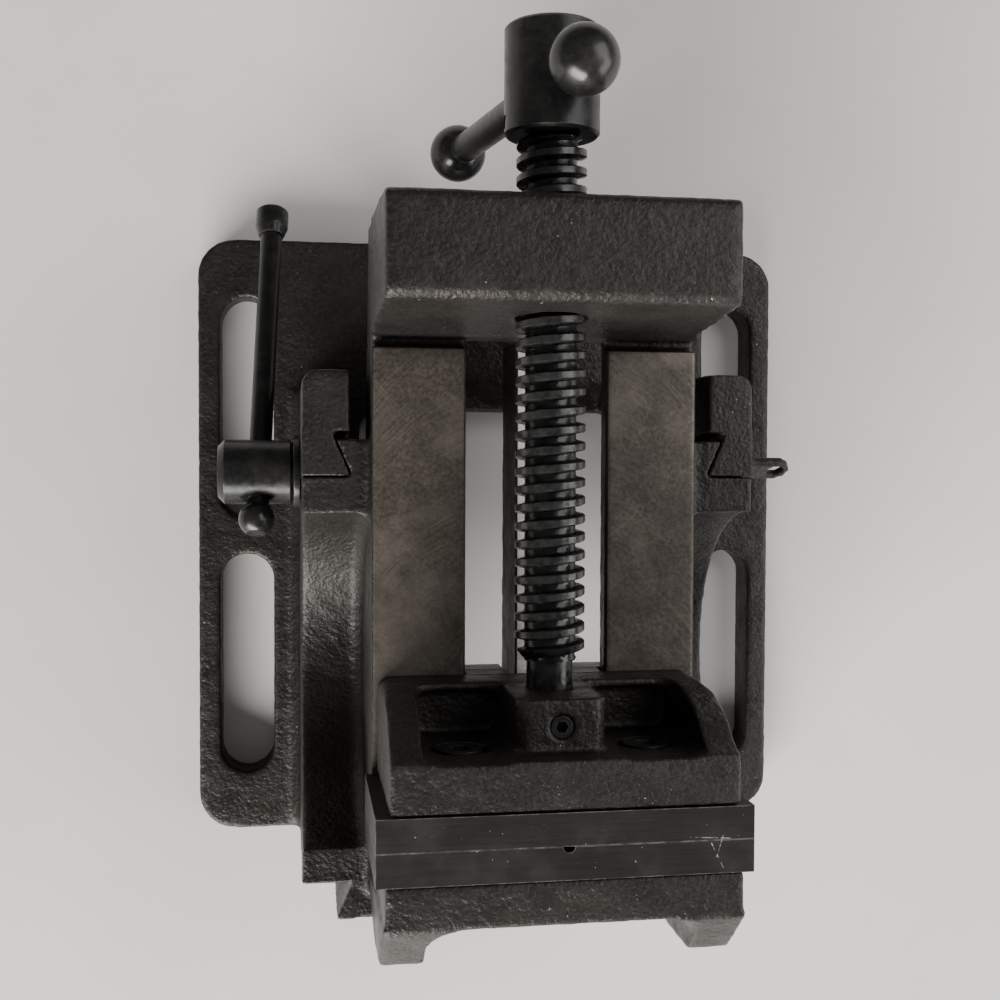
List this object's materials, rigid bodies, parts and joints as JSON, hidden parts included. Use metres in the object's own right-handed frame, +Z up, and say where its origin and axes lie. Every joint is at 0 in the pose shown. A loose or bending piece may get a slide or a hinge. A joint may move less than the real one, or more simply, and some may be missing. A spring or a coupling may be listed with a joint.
{
  "type": "tilting machine vise",
  "caption": "Cradle-type machine vise: a slotted base carries a body that tilts from flat to upright, with a screw-driven sliding jaw, sliding T-bar handle and side lock lever.",
  "frame": {"origin": "centre of the base plate's bottom face, over the window", "axes": "+Z up, +Y toward the handle end of the lead screw, +X to the right seen from the front (the tilt axis is parallel to X)"},
  "size_m": [0.209, 0.2578, 0.1516],
  "materials": {
    "base_casting": "as-cast, dark, oily",
    "body_casting": "as-cast sides, machined ways",
    "jaw_casting": "as-cast, dark, oily",
    "plate_steel": "blackened, ground, worn edges",
    "black_fastener": "black oxide",
    "keeper_steel": "machined",
    "screw_steel": "turned thread, oiled",
    "handle_steel": "turned, blackened",
    "ball_steel": "turned, blackened",
    "lock_steel": "turned, blackened",
    "washer_steel": "plain steel",
    "shoe_brass": "plain"
  },
  "bodies": {
    "base": {"base": "base_casting", "lock_washer": "washer_steel", "lock_shoe": "shoe_brass"},
    "body": {"vise_body": "body_casting", "fixed_jaw_plate": "plate_steel", "fixed_plate_screws": "black_fastener"},
    "jaw": {"movable_jaw": "jaw_casting", "movable_jaw_plate": "plate_steel", "movable_plate_screws": "black_fastener", "keeper_plates": "keeper_steel", "keeper_bolts": "black_fastener", "retaining_screw": "black_fastener", "thrust_pad": "keeper_steel"},
    "spindle": {"lead_screw": "screw_steel", "handle_hub": "handle_steel", "hub_pin": "keeper_steel"},
    "handle": {"handle_bar": "handle_steel", "handle_ball_upper": "ball_steel", "handle_ball_lower": "ball_steel"},
    "lock": {"lock_screw": "lock_steel"},
    "lock_arm": {"lock_lever": "lock_steel", "lock_ball": "ball_steel", "lock_knob": "ball_steel"}
  },
  "joints": [
    {"name": "tilt", "type": "hinge", "parent": "base", "child": "body", "pos_m": [0, -0.0385, 0.0936], "axis": [1, 0, 0], "range_deg": [0, 90]},
    {"name": "jaw_slide", "type": "slide", "parent": "body", "child": "jaw", "axis": [0, 1, 0], "range_m": [0, 0.092]},
    {"name": "spindle_turn", "type": "hinge", "parent": "jaw", "child": "spindle", "pos_m": [0, 0, 0.1194], "axis": [0, 1, 0], "range_deg": [0, 6520]},
    {"name": "bar_slide", "type": "slide", "parent": "spindle", "child": "handle", "axis": [0.1771, 0, 0.9842], "range_m": [0, 0.0648]},
    {"name": "lock_turn", "type": "hinge", "parent": "base", "child": "lock", "pos_m": [-0.082, 0.0231, 0.068], "axis": [1, 0, 0], "range_deg": [0, 45]},
    {"name": "lock_slide", "type": "slide", "parent": "lock", "child": "lock_arm", "axis": [-0.0384, -0.915, 0.4017], "range_m": [0, 0.0755]}
  ],
  "couplings": [
    {"joint": "spindle_turn", "follows": "jaw_slide", "rad_per_m": 1236.8}
  ]
}
